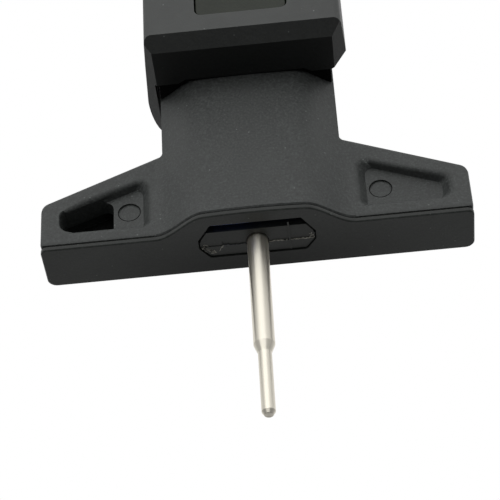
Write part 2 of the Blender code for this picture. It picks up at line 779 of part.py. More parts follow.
def make_case(slider):
    inside = CASE_FRONT + CASE_WALL
    case = outline("display_case", case_plan(), CASE_LOW, CASE_HIGH, "XY", slider, PLASTIC)
    sides = chamfered(CHEEK_OUT, CASE_LOW, UNIT_X + CASE_HALF, CASE_HIGH, (CASE_CHAMFER, CASE_CHAMFER))
    combine(case, outline("case_sides", sides, CASE_FRONT - PAST, FAR, "XZ", slider), "INTERSECT")
    front = chamfered(CASE_FRONT, CASE_LOW, FAR, CASE_HIGH, CASE_FRONT_CHAMFER, cut_right=False)
    combine(case, outline("case_front", front, -FAR, FAR, "YZ", slider), "INTERSECT")
    low = (-CASE_SIDE_IN, inside, CASE_LOW + CASE_END_WALL)
    high = (CASE_SIDE_IN, CASE_HOLLOW_BACK, CASE_HIGH - CASE_END_WALL)
    hollow = block("case_hollow", (low, high), slider)
    for number, (x, z) in enumerate(BOSSES):
        reach = (inside - PAST, BOSS_BACK)
        combine(hollow, cylinder(f"boss_{number}", BOSS_RADIUS, x, z, *reach, slider, steps=HOLE_STEPS))
    combine(case, hollow)
    low = (-REBATE_HALF, REBATE_FRONT, CASE_LOW + REBATE_END)
    high = (REBATE_HALF, CASE_BACK + PAST, CASE_HIGH - REBATE_END)
    combine(case, block("case_rebate", (low, high), slider))
    door = rectangle(UNIT_X - DOOR_HALF, DOOR_LOW, UNIT_X + DOOR_HALF, DOOR_HIGH, DOOR_CORNER)
    left, right = UNIT_X - WINDOW_HALF, UNIT_X + WINDOW_HALF
    window = rectangle(left, WINDOW_LOW, right, WINDOW_HIGH, WINDOW_RADIUS)
    for name, points in (("door_opening", door), ("window_opening", window)):
        combine(case, outline(name, points, CASE_FRONT - PAST, inside + PAST, "XZ", slider))
    left, right = UNIT_X - KEY_FIELD_HALF, UNIT_X + KEY_FIELD_HALF
    points = rectangle(left, KEY_Z - KEY_FIELD_RISE, right, KEY_Z + KEY_FIELD_RISE, KEY_FIELD_RADIUS)
    field = outline("key_field", points, CASE_FRONT - PAST, CASE_FRONT + KEY_FIELD_DEPTH, "XZ", slider)
    combine(case, field)
    for name, x in KEYS.items():
        radius = KEY_RADIUS + KEY_HOLE_GAP
        combine(case, cylinder(f"{name}_hole", radius, x, KEY_Z, CASE_FRONT - PAST, inside + PAST, slider))
    for number, (x, z) in enumerate(BOSSES):
        bore(case, number, COVER_SCREW, x, z, CASE_BACK)


def make_rear_cover(slider):
    half = REBATE_HALF - COVER_GAP
    low = CASE_LOW + REBATE_END + COVER_GAP
    high = CASE_HIGH - REBATE_END - COVER_GAP
    cover = block("rear_cover", ((-half, COVER_FRONT, low), (half, CASE_BACK, high)), slider, PLASTIC)
    inner = half - 0.1
    link = ((-inner, COVER_FRONT + 0.1, HOOD_LOW + 0.4), (inner, LINK_BACK, high - 0.1))
    combine(cover, block("cover_link", link, slider), "UNION")
    hood = outline("hood", neck_section(HOOD_CORNER), HOOD_LOW, CASE_HIGH, "XY", slider)
    combine(cover, bevel(hood, HOOD_EDGE, 2, 60), "UNION")
    combine(cover, block("hood_hollow", HOOD_HOLLOW, slider))
    combine(cover, block("ribbon_window", RIBBON_WINDOW, slider))
    front = COVER_FRONT - PAST
    combine(cover, cylinder("cell_seat", CELL_ROOM, UNIT_X, DOOR_MIDDLE, front, CELL_SEAT_BACK, slider))
    for number, (x, z) in enumerate(BOSSES):
        seat(cover, f"boss_{number}", COVER_SCREW, x, z, CASE_BACK + PAST)
        screw(f"cover_screw_{number + 1}", COVER_SCREW, x, z, slider)
    for number, (x, z) in enumerate(HOOD_SCREWS):
        seat(cover, f"hood_{number}", HOOD_SCREW, x, z, BACK_Y + PAST)
        screw(f"hood_screw_{number + 1}", HOOD_SCREW, x, z, slider)


def make_power(slider):
    reach = (CELL_FRONT, CELL_BACK)
    cell = cylinder("battery_cell", CELL_RADIUS, UNIT_X, DOOR_MIDDLE, *reach, slider, CELL_STEEL)
    bevel(cell, CELL_EDGE)
    block("contact_negative", CONTACT_NEGATIVE, slider, SPRING_STEEL)
    block("contact_positive", CONTACT_POSITIVE, slider, SPRING_STEEL)
    slide = empty("door_slide", slider, (UNIT_X, CASE_FRONT + DOOR_SINK, DOOR_MIDDLE))
    half = DOOR_HALF - DOOR_GAP
    reach = (DOOR_HIGH - DOOR_LOW) / 2 - DOOR_GAP
    points = rectangle(-half, -reach, half, reach, DOOR_CORNER - DOOR_GAP)
    bevel(outline("battery_door", points, 0, DOOR_THICK, "XZ", slide, DOOR_PLASTIC), DOOR_EDGE, 1, 50)


def make_display(slider):
    board = block("main_board", MAIN_BOARD, slider, GREEN_BOARD)
    front, back = MAIN_BOARD[0][1] - PAST, MAIN_BOARD[1][1] + PAST
    combine(board, cylinder("cell_hole", CELL_ROOM, UNIT_X, DOOR_MIDDLE, front, back, slider))
    for number, (x, z) in enumerate(BOSSES):
        hole = cylinder(f"board_hole_{number}", BOSS_ROOM, x, z, front, back, slider, steps=HOLE_STEPS)
        combine(board, hole)
    block("lcd_glass", LCD_GLASS, slider, LCD)
    block("zebra_strip", ZEBRA_STRIP, slider, RUBBER)
    left, right = UNIT_X - WINDOW_HALF + PANE_GAP, UNIT_X + WINDOW_HALF - PANE_GAP
    pane = rectangle(left, WINDOW_LOW + PANE_GAP, right, WINDOW_HIGH - PANE_GAP, WINDOW_RADIUS - PANE_GAP)
    front = CASE_FRONT + PANE_SINK
    outline("lcd_window", pane, front, front + PANE_THICK, "XZ", slider, CLEAR)


def make_keys(slider):
    sheet = block("keypad_sheet", KEYPAD, slider, RUBBER)
    for name, x in KEYS.items():
        dome = (DOME_RADIUS, x, KEY_Z, DOME_FRONT, DOME_BACK)
        combine(sheet, cylinder(f"{name}_dome", *dome, slider, steps=HOLE_STEPS), "UNION")
        slide = empty(f"{name}_slide", slider, (x, CASE_FRONT, KEY_Z))
        key = cylinder(name, KEY_RADIUS, 0, 0, KEY_SINK, KEY_BACK, slide, KEY_PLASTIC)
        bevel(key, KEY_EDGE, 2, 50)
        rim = cylinder(f"{name}_rim", FLANGE_RADIUS, 0, 0, FLANGE_FRONT, FLANGE_FRONT + FLANGE_THICK, slide)
        combine(key, rim, "UNION")


def main():
    gauge = empty("gauge", None, (0, 0, PROBE_OUT))
    base = empty("base", gauge)
    slider = empty("slider", base)
    make_base(base)
    make_carriage(slider)
    make_probe(slider)
    make_readhead(slider)
    make_case(slider)
    make_rear_cover(slider)
    make_power(slider)
    make_display(slider)
    make_keys(slider)
    bpy.context.view_layer.update()


main()
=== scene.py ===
"""The looks of the tyre tread depth gauge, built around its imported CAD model.

Sizes are in millimetres where a comment doesn't say otherwise, and MM turns them into metres. Places come
from the CAD nodes' boxes, or are measured from the probe's axis.
"""

import math
import random

import bmesh
import bpy
from mathutils import Matrix, Vector


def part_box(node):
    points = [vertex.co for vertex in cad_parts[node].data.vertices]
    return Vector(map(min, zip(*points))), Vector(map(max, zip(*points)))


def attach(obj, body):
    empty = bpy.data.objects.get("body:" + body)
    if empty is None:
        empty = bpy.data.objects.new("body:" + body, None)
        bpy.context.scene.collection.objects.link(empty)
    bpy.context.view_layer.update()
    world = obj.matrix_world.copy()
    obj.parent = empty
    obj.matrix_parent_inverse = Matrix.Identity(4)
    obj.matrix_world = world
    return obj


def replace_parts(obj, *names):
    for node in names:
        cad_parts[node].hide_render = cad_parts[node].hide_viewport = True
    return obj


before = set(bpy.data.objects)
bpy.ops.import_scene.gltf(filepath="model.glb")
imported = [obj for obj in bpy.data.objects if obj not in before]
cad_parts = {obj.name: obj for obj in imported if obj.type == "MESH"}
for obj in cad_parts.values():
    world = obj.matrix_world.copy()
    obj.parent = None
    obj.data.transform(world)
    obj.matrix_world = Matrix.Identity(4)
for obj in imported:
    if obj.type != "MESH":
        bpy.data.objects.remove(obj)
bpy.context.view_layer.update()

MM = 0.001
SEED = 7

# Meshes: vertices closer than WELD are joined, and faces that turn by less than FLAT are merged. Edges of
# CAD nodes that turn by more than SHARP are rounded, and those of turned pieces by more than STEEP.
# Details look flat where they turn by more than CREASE
WELD = 0.001
FLAT = math.radians(0.3)
SHARP = math.radians(28)
STEEP = math.radians(20)
CREASE = math.radians(40)

# How widely edges are rounded, and in how many steps
EDGE_STEPS = 3
RIM_STEPS = 5
SHELL_EDGE = 0.14
RIM_EDGE = 0.6
CASE_EDGE = 0.16
COVER_EDGE = 0.12
KEY_EDGE = 0.08
FINE_EDGE = 0.06
DOOR_EDGE = 0.05

# Camera: it looks up at the gauge from in front of the foot. PITCH, ROLL and YAW are in radians. Along its
# own axes it stands DISTANCE back from the point at AIM_Y on the foot's underside, ASIDE to the left, and
# BELOW
PITCH = 0.69043
ROLL = -0.06174
YAW = 0.05119
DISTANCE = 256.213
ASIDE = 0.791
BELOW = 2.393
AIM_Y = -2.36
LENS = 144.006
SENSOR = 36.0

# Stage and light. SKY pairs a place, from 0 straight down to 1 straight up, with a strength. The glow
# starts where a direction and GLOW_FROM have GLOW_START as their dot product, and the light from the
# sides falls to SIDE_SHARE beyond SIDE_START, which is a direction's sideways part
FLOOR_DROP = 420.0
FLOOR_SIZE = 3000.0
SKY = ((0.0, 0.05), (0.2, 0.10), (0.4, 0.34), (0.5, 0.80), (0.68, 1.10), (0.82, 1.18), (1.0, 1.2))
GLOW_FROM = (0.0, 0.77, -0.64)
GLOW = 0.26
GLOW_START = 0.25
SIDE_START = 0.35
SIDE_SHARE = 0.62
LAMP_PLACE = (-220.0, -1150.0, 20.0)
LAMP_AIM = (0.0, 0.0, 40.0)
LAMP_SIZE = 1500.0
LAMP_WATTS = 6.0

# Probe: radii, and heights above its tip
TIP_RADIUS = 0.875
TIP_FLAT = 0.575
TIP_CHAMFER = 0.5
STEP_LOW = 9.3
STEP_HIGH = 10.6
PROBE_CHAMFER = 0.2
PROBE_STEPS = 96

# The wings' recesses and the ejector marks on their floors. Z is measured from the foot's underside, and
# the edges within RIM_REACH of the wings' front are a recess's rim
WING_Y = -2.4
RECESS_X = (13.3, 25.8)
RECESS_Z = (2.7, 11.2)
RECESS_DEPTH = 1.4
POCKET_END = 24.4
RIM_REACH = 0.05
MARK_X = 16.5
MARK_Z = 6.4
MARK_RADIUS = 1.45
# MARK_LINE, MARK_DEPTH, MARK_RISE and MARK_STEPS shape the near-black ring of painted shade round each mark
MARK_LINE = (-0.03, 0.07)
MARK_DEPTH = 0.02
MARK_RISE = 0.012
MARK_STEPS = 48

# Neck, and the near-black block of painted shade in the gap between it and the case: half-widths, places
# and sizes
CROWN_HALF = 6.3
CROWN_FOOT = 13.0
CROWN_RISE = 3.65
CROWN_SWELL = 0.2
SHADE_BLOCK_HALF = 11.6
SHADE_BLOCK_FRONT = -6.9
SHADE_BLOCK_INSET = 0.35
SHADE_BLOCK_HIGH = 2.0
SHADE_BLOCK_GAP = 0.12
SHADE_BLOCK_STEPS = 32

# The seam on the carriage's lower end: where each stretch of pale flash and of dark crack starts and ends
# along it, with a crack's width, and the notch's outline, measured from the seam
FLASH = ((1.5, 3.9), (4.3, 5.7), (5.6, 7.3))
FLASH_WIDTH = 0.17
FLASH_SLANT = 0.04
FLASH_DEPTH = 0.03
FLASH_STEPS = 12
CRACKS = ((-4.6, -3.1, 0.32), (-3.2, -2.2, 0.18), (-2.3, -1.5, 0.24))
CRACK_SLANT = 0.02
CRACK_DEPTH = 0.02
CRACK_STEPS = 9
NOTCH = ((-4.55, -0.75), (-4.4, -0.1), (-3.95, 0.25), (-4.35, 0.3))
NOTCH_DEPTH = 0.015

# The near-black sheet of painted shade for the gap along the carriage's cut corners, measured from where
# its front and its right side would meet
CORNER_GAP_SHADE = ((-1.03, 0.0), (-0.75, 0.0), (0.0, 1.2), (0.0, 1.85), (-0.13, 1.65), (-0.25, 1.25))
GAP_SHADE_DEPTH = 0.012

# Glue on the carriage's lower end. On the left it lies in a band, which starts at GLUE_X on the seam and
# slants back from it. STRAND_ANGLE is a mean and a spread, in degrees
GLUE_DEPTH = 0.025
GLUE_STRANDS = 34
GLUE_X = (-7.2, -5.7)
GLUE_SLANT = 0.75
GLUE_SPREAD = 0.22
GLUE_LIMIT = (7.3, 1.6)
STRAND_ANGLE = (38, 22)
STRAND_HALF = (0.12, 0.42)
STRAND_WIDTH = (0.10, 0.24)
STRAND_STEPS = 5
LONG_STRANDS = (((-4.95, 0.95), (-4.75, 0.45)), ((-4.8, 0.5), (-4.45, 0.0)), ((-5.1, 1.1), (-4.9, 0.9)))
LONG_WIDTH = 0.2
LONG_STEPS = 6
RIGHT_STRANDS = 7
RIGHT_X = (6.75, 7.2)
RIGHT_Y = (-1.0, -0.1)
RIGHT_LEAN = 0.15
RIGHT_LENGTH = (0.2, 0.6)
RIGHT_WIDTH = 0.16
PROBE_STRAND = ((0.35, -1.5), (0.55, -1.42))
PROBE_STRAND_WIDTH = 0.1
SHORT_STEPS = 4

# The rib beside the probe: its corners' x, its ends' y, and how far it stands out and reaches in
RIB_X = (4.05, 4.25, 4.27, 4.3, 4.12)
RIB_Y = (-3.45, 1.9)
RIB_OUT = 0.09
RIB_IN = 0.1

# Printed digits and signs. DIGIT_STEP is a quarter of a digit's height, SEGMENT is half a segment's width,
# and SEGMENT_END is how far its straight sides stop short. The ring on a key runs from step RING_FIRST to
# step RING_LAST, with SIGN_STEPS to a turn, and RING_INNER is its hole's radius
INK_RISE = 0.02
DIGITS = 4
DIGIT_PITCH = 3.9
DIGIT_HALF = 1.15
DIGIT_STEP = 1.55
SEGMENT = 0.22
SEGMENT_END = 0.264
SIGN_STEPS = 32
RING_FIRST = 10
RING_LAST = 37
RING_INNER = 0.75
BAR_HALF = (0.9, 0.13)
DOT_RADIUS = 0.45


# Node helpers


def add_node(tree, kind, inputs=None, **settings):
    """Adds a node to a node tree. Its inputs, by name or number, are sockets to link or plain values."""
    node = tree.nodes.new(kind)
    for key, value in settings.items():
        setattr(node, key, value)
    for key, value in (inputs or {}).items():
        if isinstance(value, bpy.types.NodeSocket):
            tree.links.new(value, node.inputs[key])
        else:
            node.inputs[key].default_value = value
    return node


def fill_ramp(node, stops):
    """Gives a colour ramp its stops, each (place, grey or colour)."""
    points = node.color_ramp.elements
    while len(points) < len(stops):
        points.new(0.5)
    for point, (place, colour) in zip(points, stops):
        point.position = place
        point.color = (colour, colour, colour, 1) if isinstance(colour, float) else (*colour, 1)
    return node.outputs["Color"]


class Tree:
    """A material's node tree, with short ways to add and join nodes."""

    def __init__(self, name, roughness, metallic=0.0, **sockets):
        self.material = bpy.data.materials.new(name)
        self.material.use_nodes = True
        self.shader = self.material.node_tree.nodes["Principled BSDF"]
        self.shader.inputs["Roughness"].default_value = roughness
        self.shader.inputs["Metallic"].default_value = metallic
        for socket, value in sockets.items():
            self.shader.inputs[socket.replace("_", " ")].default_value = value
        self.place = self.add("ShaderNodeTexCoord").outputs["Object"]

    def add(self, kind, inputs=None, **settings):
        return add_node(self.material.node_tree, kind, inputs, **settings)

    def link(self, value, socket):
        """Feeds one of the shader's own sockets."""
        self.material.node_tree.links.new(value, self.shader.inputs[socket])

    def stretched(self, scale):
        """The place, scaled differently along each axis."""
        return self.add("ShaderNodeMapping", {"Vector": self.place, "Scale": scale}).outputs["Vector"]

    def noise(self, scale, detail=2.0, place=None, rough=0.5):
        inputs = {"Vector": place or self.place, "Scale": scale, "Detail": detail, "Roughness": rough}
        return self.add("ShaderNodeTexNoise", inputs).outputs["Fac"]

    def ramp(self, value, *stops):
        """Values between stops, each (place, grey or colour)."""
        return fill_ramp(self.add("ShaderNodeValToRGB", {"Fac": value}), stops)

    def math(self, operation, first, second=0.0):
        return self.add("ShaderNodeMath", {0: first, 1: second}, operation=operation).outputs[0]

    def vector(self, operation, first, second=None):
        """The node for a vector sum: its result is in the output Vector or Value."""
        inputs = {0: first} if second is None else {0: first, 1: second}
        return self.add("ShaderNodeVectorMath", inputs, operation=operation)

    def mix(self, share, first, second):
        """A share of the second colour over the first. Each can be a socket or three numbers."""
        first, second = (c if isinstance(c, bpy.types.NodeSocket) else (*c, 1) for c in (first, second))
        return self.add("ShaderNodeMix", {0: share, 6: first, 7: second}, data_type="RGBA").outputs[2]

    def specks(self, scale, share, size):
        """1 at the centres of a share of a scattered pattern's cells, falling to 0 at size from them."""
        cells = self.add("ShaderNodeTexVoronoi", {"Vector": self.place, "Scale": scale})
        lot = self.add("ShaderNodeSeparateColor", {0: cells.outputs["Color"]}).outputs[0]
        near = self.ramp(cells.outputs["Distance"], (0.0, 1.0), (size, 0.0))
        return self.math("MULTIPLY", self.math("LESS_THAN", lot, share), near)

    def edges(self, radius, low, high):
        """1 on sharp edges, falling to 0 on the flat within radius of them."""
        soft = self.add("ShaderNodeBevel", {"Radius": radius * MM}, samples=6).outputs["Normal"]
        hard = self.add("ShaderNodeNewGeometry").outputs["Normal"]
        turn = self.vector("DOT_PRODUCT", soft, hard).outputs["Value"]
        return self.ramp(self.math("SUBTRACT", 1.0, turn), (low, 0.0), (high, 1.0))

    def bump(self, height, distance, strength=1.0, under=None):
        inputs = {"Height": height, "Distance": distance * MM, "Strength": strength}
        if under is not None:
            inputs["Normal"] = under
        return self.add("ShaderNodeBump", inputs).outputs["Normal"]

    def painted_light_by_facing(self, direction, share):
        """Painted light and shade by facing: 1 on most faces, and a share on those that point along
        direction, which may be more than 1.
        """
        normal = self.add("ShaderNodeNewGeometry").outputs["Normal"]
        toward = self.vector("DOT_PRODUCT", normal, direction).outputs["Value"]
        return self.ramp(toward, (0.3, 1.0), (1.0, share))

    def painted_shade_patch(self, middle, reach, share):
        """Painted shade: 1 outside a soft dark patch around middle, as far as reach along each axis, and a
        share inside it.
        """
        scale = tuple(1 / (part * MM) for part in reach)
        place = self.vector("SUBTRACT", self.place, middle * MM).outputs["Vector"]
        away = self.vector("MULTIPLY", place, scale).outputs["Vector"]
        return self.ramp(self.vector("LENGTH", away).outputs["Value"], (0.15, share), (1.0, 1.0))

    def finish(self, colour, roughness=None, normal=None):
        """Feeds the shader what it is given, and hands back the finished material."""
        self.link(colour, "Base Color")
        if roughness is not None:
            self.link(roughness, "Roughness")
        if normal is not None:
            self.link(normal, "Normal")
        return self.material


# Materials


def scaled(colour, share):
    """A colour made lighter or darker."""
    return tuple(channel * share for channel in colour)


def moulded(
    name, colour, roughness, grain=0.030, mottle=1.0, worn=2.6, specks=True, shine=0.5, away=None,
    shade_patch=None,
):
    """Matte moulded plastic: fine spark-eroded grain, faint flow marks, pale specks, lighter worn edges,
    and painted shade that darkens it towards black in creases, recesses and gaps.

    mottle is how much the fine grain varies in shade, and worn how much paler the edges are. away holds
    the direction and share of the painted light and shade by facing, and the last argument the middle,
    reach and share of a patch of painted shade.
    """
    tree = Tree(name, roughness)
    broad = tree.noise(140.0, 3.0)
    middle = tree.noise(900.0, 3.0)
    fine = tree.noise(3200.0, 2.0, rough=0.65)
    shade = tree.mix(tree.ramp(broad, (0.3, 0.0), (0.7, 1.0)), scaled(colour, 0.88), scaled(colour, 1.12))
    shade = tree.mix(tree.ramp(middle, (0.35, 0.0), (0.75, 0.4)), shade, scaled(colour, 1.3))
    shade = tree.mix(tree.ramp(fine, (0.5, 0.0), (0.68, 0.75 * mottle)), shade, scaled(colour, 2.1))
    shade = tree.mix(tree.ramp(fine, (0.28, 0.7 * mottle), (0.46, 0.0)), shade, scaled(colour, 0.3))
    if specks:
        for scale, share, size in ((1300.0, 0.09, 0.16), (620.0, 0.08, 0.09)):
            dust = tree.specks(scale, share, size)
            shade = tree.mix(tree.math("MULTIPLY", dust, 0.8), shade, scaled(colour, 7))
    wear = tree.math("MULTIPLY", tree.edges(0.22, 0.03, 0.25), tree.ramp(middle, (0.3, 0.35), (0.65, 1.0)))
    shade = tree.mix(tree.math("MULTIPLY", wear, 0.8), shade, scaled(colour, worn))
    # Painted shade: within 3 mm of other surfaces, ambient occlusion darkens the colour towards black and
    # weakens the reflection in creases, recesses and gaps
    shadow = tree.add("ShaderNodeAmbientOcclusion", {"Distance": 3 * MM}, samples=6).outputs["AO"]
    painted_lighting = tree.ramp(shadow, (0.0, 0.15), (0.3, 1.0))
    if away:
        painted_lighting = tree.math("MULTIPLY", painted_lighting, tree.painted_light_by_facing(*away))
    if shade_patch:
        painted_lighting = tree.math("MULTIPLY", painted_lighting, tree.painted_shade_patch(*shade_patch))
    shade = tree.mix(painted_lighting, (0.001, 0.001, 0.001), shade)
    tree.link(tree.math("MULTIPLY", painted_lighting, shine), "Specular IOR Level")
    gloss = tree.ramp(fine, (0.3, roughness - 0.08), (0.7, roughness + 0.08))
    normal = tree.bump(fine, grain, 0.9)
    normal = tree.bump(middle, grain * 1.3, 0.5, normal)
    return tree.finish(shade, gloss, normal)


def polished_steel():
    """The probe: ground and polished, with fine rings from turning and faint lengthwise streaks."""
    tree = Tree("polished_steel", 0.3, 1.0, Anisotropic=0.8, Anisotropic_Rotation=0.25)
    around = tree.add("ShaderNodeTangent", direction_type="RADIAL", axis="Z").outputs[0]
    tree.link(around, "Tangent")
    rings = tree.noise(1.0, 3.0, tree.stretched((60, 60, 9000)))
    streaks = tree.noise(1.0, 3.0, tree.stretched((2600, 2600, 40)))
    colour = tree.mix(tree.ramp(streaks, (0.35, 0.0), (0.7, 1.0)), (0.80, 0.762, 0.66), (0.90, 0.86, 0.76))
    gloss = tree.ramp(streaks, (0.3, 0.34), (0.7, 0.46))
    return tree.finish(colour, gloss, tree.bump(rings, 0.002, 0.5))


def plated(name, colour, roughness, scale=3000.0):
    """Plated or blackened small metal parts, a little uneven, with brighter edges."""
    tree = Tree(name, roughness, 1.0)
    uneven = tree.noise(scale, 3.0)
    shade = tree.mix(tree.ramp(uneven, (0.3, 0.0), (0.7, 1.0)), scaled(colour, 0.75), colour)
    bright = tuple(min(1.0, channel * 1.8) for channel in colour)
    shade = tree.mix(tree.math("MULTIPLY", tree.edges(0.12, 0.03, 0.25), 0.7), shade, bright)
    gloss = tree.ramp(uneven, (0.3, roughness - 0.08), (0.7, roughness + 0.1))
    return tree.finish(shade, gloss, tree.bump(uneven, 0.004, 0.6))


def circuit_board(name, mask, trace, pitch):
    """Solder mask with tracks under it in runs, a pitch apart, and glass weave showing faintly."""
    tree = Tree(name, 0.32)
    runs = tree.add("ShaderNodeTexBrick", {
        "Vector": tree.place,
        "Scale": 1.0,
        "Color1": (1, 1, 1, 1),
        "Color2": (0, 0, 0, 1),
        "Mortar": (0.5, 0.5, 0.5, 1),
        "Mortar Size": pitch * 0.16 * MM,
        "Brick Width": pitch * 2 * MM,
        "Row Height": pitch * MM,
    })
    weave = tree.noise(1.0, 2.0, tree.stretched((2400, 2400, 2400)))
    tracks = tree.ramp(runs.outputs["Color"], (0.45, 0.0), (0.55, 1.0))
    shade = tree.mix(tree.math("MULTIPLY", tracks, 0.8), mask, trace)
    shade = tree.mix(tree.math("MULTIPLY", tree.edges(0.15, 0.05, 0.3), 0.6), shade, (0.35, 0.33, 0.2))
    gloss = tree.ramp(weave, (0.3, 0.26), (0.7, 0.4))
    return tree.finish(shade, gloss, tree.bump(runs.outputs["Color"], 0.02, 0.5))


def soft_rubber():
    """Dull grey silicone with a fine grain."""
    tree = Tree("silicone", 0.7)
    grain = tree.noise(4000.0, 3.0)
    shade = tree.mix(tree.ramp(grain, (0.3, 0.0), (0.7, 1.0)), (0.10, 0.10, 0.105), (0.145, 0.145, 0.15))
    return tree.finish(shade, tree.ramp(grain, (0.3, 0.6), (0.7, 0.82)), tree.bump(grain, 0.01, 0.5))


def polyimide():
    """Amber film over copper tracks that run along the cable."""
    tree = Tree("polyimide", 0.35)
    cores = tree.add("ShaderNodeTexWave", {"Vector": tree.place, "Scale": 480.0}, bands_direction="X")
    copper = tree.ramp(cores.outputs["Fac"], (0.45, 0.0), (0.6, 1.0))
    shade = tree.mix(copper, (0.30, 0.10, 0.02), (0.52, 0.23, 0.06))
    gloss = tree.ramp(tree.noise(2500.0), (0.3, 0.28), (0.7, 0.42))
    return tree.finish(shade, gloss, tree.bump(copper, 0.01, 0.6))


def lcd_cell():
    """Grey-green liquid crystal glass, a little uneven, darker towards its sealed edge."""
    tree = Tree("lcd_cell", 0.22)
    cloud = tree.noise(110.0, 2.0)
    grain = tree.noise(9000.0, 1.0)
    shade = tree.mix(tree.ramp(cloud, (0.3, 0.0), (0.7, 1.0)), (0.27, 0.30, 0.24), (0.34, 0.37, 0.30))
    shade = tree.mix(tree.math("MULTIPLY", tree.edges(0.6, 0.02, 0.3), 0.6), shade, (0.12, 0.13, 0.11))
    return tree.finish(shade, tree.ramp(cloud, (0.3, 0.18), (0.7, 0.28)), tree.bump(grain, 0.002, 0.4))


def clear_window():
    """Clear acrylic with faint smudges."""
    tree = Tree("clear_window", 0.03, IOR=1.49, Transmission_Weight=1.0)
    smudge = tree.noise(260.0, 4.0)
    shade = tree.mix(smudge, (0.93, 0.95, 0.95), (0.97, 0.98, 0.98))
    return tree.finish(shade, tree.ramp(smudge, (0.45, 0.02), (0.75, 0.09)), tree.bump(smudge, 0.004, 0.3))


def ink(name, colour):
    """Printed ink, a little uneven."""
    tree = Tree(name, 0.4)
    uneven = tree.noise(5000.0, 2.0)
    shade = tree.mix(tree.ramp(uneven, (0.3, 0.0), (0.8, 1.0)), colour, scaled(colour, 1.5))
    return tree.finish(shade, tree.ramp(uneven, (0.3, 0.34), (0.7, 0.5)), tree.bump(uneven, 0.002, 0.4))


def dried_glue():
    """Pale, lumpy glue that lets a little light through."""
    tree = Tree("dried_glue", 0.4, Transmission_Weight=0.25)
    lumps = tree.noise(2600.0, 4.0)
    shade = tree.mix(tree.ramp(lumps, (0.35, 0.0), (0.7, 1.0)), (0.16, 0.16, 0.14), (0.68, 0.66, 0.58))
    return tree.finish(shade, tree.ramp(lumps, (0.3, 0.3), (0.7, 0.6)), tree.bump(lumps, 0.05, 0.8))


# The finishes. The patch of painted shade under the foot, behind the slot, has a middle, a reach along each
# axis, and the share left there
FORWARD = (0, -1, 0)
DOWN = (0, 0, -1)
BASE_COLOUR = (0.0312, 0.0345, 0.0332)
CASE_COLOUR = (0.0382, 0.0412, 0.0396)
FOOT_COLOUR = (0.0270, 0.0305, 0.0278)
FOOT_SHADE_PATCH = (Vector((0.0, 4.5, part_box("foot_plate")[0].z / MM)), (26.0, 9.0, 20.0), 0.5)
# Painted light: faces turned downward get up to 1.6 times their shine
PLASTIC = moulded("base_plastic", BASE_COLOUR, 0.6, away=(DOWN, 1.6))
# Painted shade: the rear shell's faces turned forward, in its hollow, are darkened to 0.15
REAR_PLASTIC = moulded("rear_plastic", BASE_COLOUR, 0.6, away=(FORWARD, 0.15))
# Painted shade: the case's underside, turned downward, is darkened to 0.4
CASE_PLASTIC = moulded("case_plastic", CASE_COLOUR, 0.6, grain=0.02, mottle=0.3, away=(DOWN, 0.4))
# Painted shade: the foot's faces turned forward are darkened to 0.6, and a soft patch under it to 0.5
FOOT_PLASTIC = moulded(
    "foot_plastic", FOOT_COLOUR, 0.45, grain=0.014, mottle=0.6, worn=1.5, away=(FORWARD, 0.6),
    shade_patch=FOOT_SHADE_PATCH,
)
DOOR_PLASTIC = moulded("door_plastic", (0.0190, 0.0226, 0.0162), 0.5, grain=0.016, mottle=0.4, shine=0.25)
INNER_PLASTIC = moulded("inner_plastic", (0.0215, 0.0242, 0.0216), 0.5, grain=0.018, mottle=0.7)
# Near-black, with almost no reflection: painted shade, for the rings round the ejector marks, the sheet
# along the carriage's cut corners and the block between case and neck
SHADE_BLACK = moulded("painted_shade_black", (0.0030, 0.0032, 0.0030), 0.95, specks=False, shine=0.1)
KEY_PLASTIC = moulded("key_plastic", (0.17, 0.175, 0.18), 0.42, grain=0.012, worn=1.35, specks=False)
STEEL = polished_steel()
SCREW_STEEL = plated("screw_steel", (0.20, 0.20, 0.21), 0.34)
SPRING_STEEL = plated("spring_steel", (0.62, 0.60, 0.55), 0.26)
CELL_STEEL = plated("cell_steel", (0.68, 0.69, 0.70), 0.2, scale=900.0)
BLUE_BOARD = circuit_board("blue_board", (0.035, 0.15, 1.0), (0.07, 0.24, 1.0), 1.27)
GREEN_BOARD = circuit_board("green_board", (0.008, 0.085, 0.030), (0.02, 0.17, 0.06), 1.9)
RUBBER = soft_rubber()
FLEX = polyimide()
LCD = lcd_cell()
CLEAR = clear_window()
DIGIT_INK = ink("segment_ink", (0.018, 0.02, 0.022))
MARK_INK = ink("key_marks", (0.55, 0.56, 0.56))
GLUE = dried_glue()


# Mesh helpers


def show(name, mesh, material, body):
    """Puts a mesh in the scene as a piece that rides on a body."""
    mesh.materials.clear()
    mesh.materials.append(material)
    piece = bpy.data.objects.new(name, mesh)
    bpy.context.scene.collection.objects.link(piece)
    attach(piece, body)
    return piece


def to_mesh(name, shape, crease=CREASE):
    """Turns a bmesh into a mesh whose edges look sharp where they turn by more than crease."""
    mesh = bpy.data.meshes.new(name)
    shape.to_mesh(mesh)
    shape.free()
    mesh.shade_smooth()
    mesh.set_sharp_from_angle(angle=crease)
    return mesh


